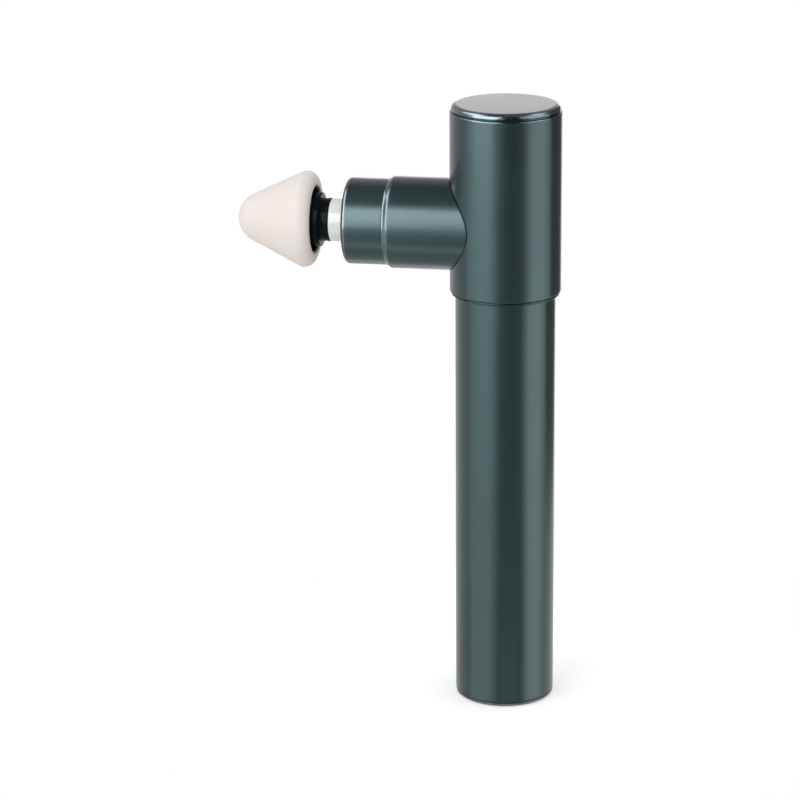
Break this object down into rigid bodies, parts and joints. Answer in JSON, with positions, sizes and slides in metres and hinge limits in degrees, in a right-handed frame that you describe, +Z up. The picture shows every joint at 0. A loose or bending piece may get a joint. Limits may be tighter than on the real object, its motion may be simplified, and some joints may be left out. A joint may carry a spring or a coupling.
{
  "type": "massage gun",
  "caption": "Slim T-shaped cordless massage gun: a tubular handle, a wider head sleeve, and a side nozzle whose shaft drives a soft cone.",
  "frame": {"origin": "middle of the flat base, on the handle's axis", "axes": "+Z up along the handle, the nozzle and the massage head point along -X, +Y completes the frame"},
  "size_m": [0.1075, 0.0366, 0.2034],
  "materials": {
    "green_metal": "satin anodised, dark green",
    "pale_shaft": "polished",
    "cream_silicone": "matt silicone",
    "black_plastic": "moulded",
    "button_plastic": "satin",
    "switch_plastic": "moulded",
    "light_pipe": "frosted",
    "lamp": "clear",
    "black_rubber": "moulded",
    "red_rubber": "moulded",
    "circuit_board": "solder mask",
    "chip_black": "moulded",
    "cell_wrap": "shrink film over a steel can",
    "nickel": "rolled",
    "lead_wire": "silicone insulation",
    "bright_steel": "ground",
    "motor_metal": "turned",
    "motor_steel": "turned",
    "core_steel": "laminated",
    "copper": "enamelled",
    "white_acetal": "machined",
    "bush_brass": "turned"
  },
  "bodies": {
    "housing": {"handle_tube": "green_metal", "bottom_cap": "green_metal", "head_sleeve": "green_metal", "trim_ring": "green_metal", "top_cap": "green_metal", "nozzle_barrel": "green_metal", "nozzle_ring": "green_metal", "battery_cradle": "black_plastic", "chassis": "black_plastic", "tact_switch": "black_plastic", "guide_housing": "black_plastic", "light_ring": "light_pipe", "status_leds": "lamp", "cap_seal": "black_rubber", "front_seal": "black_rubber", "usb_board": "circuit_board", "control_board": "circuit_board", "charge_parts": "chip_black", "control_chips": "chip_black", "lower_cell": "cell_wrap", "upper_cell": "cell_wrap", "lower_contact": "nickel", "link_plate": "nickel", "upper_contact": "nickel", "motor_leads": "lead_wire", "battery_leads": "lead_wire", "usb_port": "bright_steel", "motor_screws": "bright_steel", "lower_bearing": "bright_steel", "upper_bearing": "bright_steel", "motor_base": "motor_metal", "stator_core": "core_steel", "stator_windings": "copper", "rear_bush": "bush_brass", "front_bush": "bush_brass"},
    "rotor": {"rotor_bell": "motor_steel", "rotor_magnets": "core_steel", "motor_shaft": "bright_steel", "crank_disc": "motor_steel", "crank_pin": "bright_steel", "crank_roller": "bright_steel", "set_screw": "bright_steel"},
    "shaft": {"drive_shaft": "pale_shaft", "yoke": "white_acetal", "yoke_screw": "bright_steel"},
    "socket_ring": {"grip_ring": "black_rubber"},
    "massage_head": {"head_core": "black_plastic", "stem_rings": "red_rubber", "massage_cone": "cream_silicone"},
    "button": {"power_button": "button_plastic", "switch_plunger": "switch_plastic"}
  },
  "joints": [
    {"name": "crank_turn", "type": "hinge", "parent": "housing", "child": "rotor", "pos_m": [0, 0, 0.16265], "axis": [0, 0, 1], "range_deg": [0, 180]},
    {"name": "shaft_stroke", "type": "slide", "parent": "housing", "child": "shaft", "axis": [-1, 0, 0], "range_m": [0, 0.007]},
    {"name": "head_twist", "type": "hinge", "parent": "shaft", "child": "socket_ring", "pos_m": [-0.0522, 0, 0.16265], "axis": [-1, 0, 0], "continuous": true},
    {"name": "head_pull", "type": "slide", "parent": "socket_ring", "child": "massage_head", "axis": [-1, 0, 0], "range_m": [0, 0.025]},
    {"name": "power_button", "type": "slide", "parent": "housing", "child": "button", "axis": [0, 0, 1], "range_m": [0, 0.0005], "stiffness_N_per_m": 400, "springref_m": -0.002}
  ],
  "couplings": [
    {"joint": "shaft_stroke", "follows": "crank_turn", "m_per_rad": 0.0022281}
  ]
}
